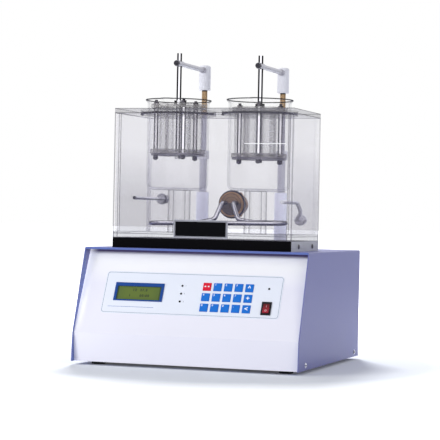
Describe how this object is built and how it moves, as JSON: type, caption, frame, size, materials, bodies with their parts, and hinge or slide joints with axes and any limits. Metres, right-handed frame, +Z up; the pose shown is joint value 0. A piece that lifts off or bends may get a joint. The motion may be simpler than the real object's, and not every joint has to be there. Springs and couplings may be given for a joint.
{
  "type": "tablet disintegration tester",
  "caption": "Bench disintegration tester: sloping control cabinet under a clear water tank, with basket-racks that bob in glass beakers on arms from rods behind.",
  "frame": {"origin": "middle of the bounding footprint, on the surface the rubber feet stand on", "axes": "+Z up, -Y towards the operator's side with the control panel, +X to the operator's right"},
  "size_m": [0.3994, 0.384, 0.533],
  "materials": {
    "cabinet_blue": "satin",
    "panel_white": "satin",
    "foot_rubber": "matt",
    "screw_steel": "polished",
    "overlay_white": "satin",
    "bezel_blue": "gloss",
    "screen_green": "gloss",
    "lamp_red": "gloss",
    "key_blue": "satin",
    "key_red": "satin",
    "black_plastic": "satin",
    "rocker_red": "gloss",
    "board_green": "satin",
    "motor_grey": "satin",
    "plinth_black": "gloss",
    "clear_acrylic": "clear",
    "clear_glass": "clear",
    "flange_brass": "worn",
    "gasket_black": "matt",
    "element_steel": "satin",
    "column_steel": "satin",
    "rod_brass": "satin",
    "nylon_white": "satin",
    "polished_steel": "polished",
    "mesh_steel": "satin",
    "crosshead_aluminium": "satin"
  },
  "bodies": {
    "chassis": {"base_tray": "cabinet_blue", "wrap_cover": "cabinet_blue", "front_panel": "panel_white", "rubber_feet": "foot_rubber", "side_screws": "screw_steel", "panel_overlay": "overlay_white", "lcd_bezel": "bezel_blue", "lcd_glass": "screen_green", "status_leds": "lamp_red", "switch_housing": "black_plastic", "mains_inlet": "black_plastic", "control_board": "board_green", "gear_motor": "motor_grey", "plinth": "plinth_black", "tank_panels": "clear_acrylic", "tank_top_plate": "clear_acrylic", "beaker_stands": "clear_acrylic", "nameplate": "plinth_black", "heater_flange": "flange_brass", "heater_gasket": "gasket_black", "heater_element": "element_steel", "circulation_fittings": "screw_steel", "guide_columns": "column_steel"},
    "carriage": {"crosshead": "crosshead_aluminium", "drive_rods": "rod_brass", "rod_caps": "nylon_white", "arms": "column_steel"},
    "crank": {"crank": "column_steel"},
    "basket_left": {"basket_left_shaft": "polished_steel", "basket_left_upper_plate": "clear_acrylic", "basket_left_lower_plate": "clear_acrylic", "basket_left_tubes": "clear_glass", "basket_left_mesh": "mesh_steel", "basket_left_tie_rods": "polished_steel"},
    "clamp_knob_left": {"clamp_knob_left": "mesh_steel"},
    "beaker_left": {"beaker_left": "clear_glass"},
    "basket_right": {"basket_right_shaft": "polished_steel", "basket_right_upper_plate": "clear_acrylic", "basket_right_lower_plate": "clear_acrylic", "basket_right_tubes": "clear_glass", "basket_right_mesh": "mesh_steel", "basket_right_tie_rods": "polished_steel"},
    "clamp_knob_right": {"clamp_knob_right": "mesh_steel"},
    "beaker_right": {"beaker_right": "clear_glass"},
    "key_r1c1": {"key_r1c1": "key_red"},
    "key_r1c2": {"key_r1c2": "key_blue"},
    "key_r1c3": {"key_r1c3": "key_blue"},
    "key_r1c4": {"key_r1c4": "key_blue"},
    "key_r1c5": {"key_r1c5": "key_blue"},
    "key_r2c1": {"key_r2c1": "key_blue"},
    "key_r2c2": {"key_r2c2": "key_blue"},
    "key_r2c3": {"key_r2c3": "key_blue"},
    "key_r2c4": {"key_r2c4": "key_blue"},
    "key_r2c5": {"key_r2c5": "key_blue"},
    "key_r3c1": {"key_r3c1": "key_blue"},
    "key_r3c2": {"key_r3c2": "key_blue"},
    "key_r3c3": {"key_r3c3": "key_blue"},
    "key_r3c4": {"key_r3c4": "key_blue"},
    "key_r3c5": {"key_r3c5": "key_blue"},
    "power_rocker": {"power_rocker": "rocker_red"}
  },
  "joints": [
    {"name": "carriage_lift", "type": "slide", "parent": "chassis", "child": "carriage", "axis": [0, 0, 1], "range_m": [-0.0275, 0.0275]},
    {"name": "crank_turn", "type": "hinge", "parent": "chassis", "child": "crank", "pos_m": [0, 0.081, 0.106], "axis": [0, -1, 0], "range_deg": [-90.5, 90.5]},
    {"name": "basket_left_height", "type": "slide", "parent": "carriage", "child": "basket_left", "axis": [0, 0, 1], "range_m": [0, 0.015]},
    {"name": "clamp_knob_left_turn", "type": "hinge", "parent": "carriage", "child": "clamp_knob_left", "pos_m": [-0.074, -0.048, 0.515], "axis": [0, -1, 0], "range_deg": [0, 360]},
    {"name": "beaker_left_lift", "type": "slide", "parent": "chassis", "child": "beaker_left", "axis": [0, 0, 1], "range_m": [0, 0.01]},
    {"name": "basket_right_height", "type": "slide", "parent": "carriage", "child": "basket_right", "axis": [0, 0, 1], "range_m": [0, 0.015]},
    {"name": "clamp_knob_right_turn", "type": "hinge", "parent": "carriage", "child": "clamp_knob_right", "pos_m": [0.074, -0.048, 0.509], "axis": [0, -1, 0], "range_deg": [0, 360]},
    {"name": "beaker_right_lift", "type": "slide", "parent": "chassis", "child": "beaker_right", "axis": [0, 0, 1], "range_m": [0, 0.01]},
    {"name": "key_r1c1_press", "type": "slide", "parent": "chassis", "child": "key_r1c1", "axis": [0, 0.9059, -0.4234], "range_m": [0, 0.0005], "stiffness_N_per_m": 1200, "springref_m": -0.0006},
    {"name": "key_r1c2_press", "type": "slide", "parent": "chassis", "child": "key_r1c2", "axis": [0, 0.9059, -0.4234], "range_m": [0, 0.0005], "stiffness_N_per_m": 1200, "springref_m": -0.0006},
    {"name": "key_r1c3_press", "type": "slide", "parent": "chassis", "child": "key_r1c3", "axis": [0, 0.9059, -0.4234], "range_m": [0, 0.0005], "stiffness_N_per_m": 1200, "springref_m": -0.0006},
    {"name": "key_r1c4_press", "type": "slide", "parent": "chassis", "child": "key_r1c4", "axis": [0, 0.9059, -0.4234], "range_m": [0, 0.0005], "stiffness_N_per_m": 1200, "springref_m": -0.0006},
    {"name": "key_r1c5_press", "type": "slide", "parent": "chassis", "child": "key_r1c5", "axis": [0, 0.9059, -0.4234], "range_m": [0, 0.0005], "stiffness_N_per_m": 1200, "springref_m": -0.0006},
    {"name": "key_r2c1_press", "type": "slide", "parent": "chassis", "child": "key_r2c1", "axis": [0, 0.9059, -0.4234], "range_m": [0, 0.0005], "stiffness_N_per_m": 1200, "springref_m": -0.0006},
    {"name": "key_r2c2_press", "type": "slide", "parent": "chassis", "child": "key_r2c2", "axis": [0, 0.9059, -0.4234], "range_m": [0, 0.0005], "stiffness_N_per_m": 1200, "springref_m": -0.0006},
    {"name": "key_r2c3_press", "type": "slide", "parent": "chassis", "child": "key_r2c3", "axis": [0, 0.9059, -0.4234], "range_m": [0, 0.0005], "stiffness_N_per_m": 1200, "springref_m": -0.0006},
    {"name": "key_r2c4_press", "type": "slide", "parent": "chassis", "child": "key_r2c4", "axis": [0, 0.9059, -0.4234], "range_m": [0, 0.0005], "stiffness_N_per_m": 1200, "springref_m": -0.0006},
    {"name": "key_r2c5_press", "type": "slide", "parent": "chassis", "child": "key_r2c5", "axis": [0, 0.9059, -0.4234], "range_m": [0, 0.0005], "stiffness_N_per_m": 1200, "springref_m": -0.0006},
    {"name": "key_r3c1_press", "type": "slide", "parent": "chassis", "child": "key_r3c1", "axis": [0, 0.9059, -0.4234], "range_m": [0, 0.0005], "stiffness_N_per_m": 1200, "springref_m": -0.0006},
    {"name": "key_r3c2_press", "type": "slide", "parent": "chassis", "child": "key_r3c2", "axis": [0, 0.9059, -0.4234], "range_m": [0, 0.0005], "stiffness_N_per_m": 1200, "springref_m": -0.0006},
    {"name": "key_r3c3_press", "type": "slide", "parent": "chassis", "child": "key_r3c3", "axis": [0, 0.9059, -0.4234], "range_m": [0, 0.0005], "stiffness_N_per_m": 1200, "springref_m": -0.0006},
    {"name": "key_r3c4_press", "type": "slide", "parent": "chassis", "child": "key_r3c4", "axis": [0, 0.9059, -0.4234], "range_m": [0, 0.0005], "stiffness_N_per_m": 1200, "springref_m": -0.0006},
    {"name": "key_r3c5_press", "type": "slide", "parent": "chassis", "child": "key_r3c5", "axis": [0, 0.9059, -0.4234], "range_m": [0, 0.0005], "stiffness_N_per_m": 1200, "springref_m": -0.0006},
    {"name": "power_rocker_tilt", "type": "hinge", "parent": "chassis", "child": "power_rocker", "pos_m": [0.1333, -0.16416, 0.10416], "axis": [1, 0, 0], "range_deg": [0, 14]}
  ],
  "couplings": [
    {"joint": "crank_turn", "follows": "carriage_lift", "rad_per_m": 57.12}
  ]
}
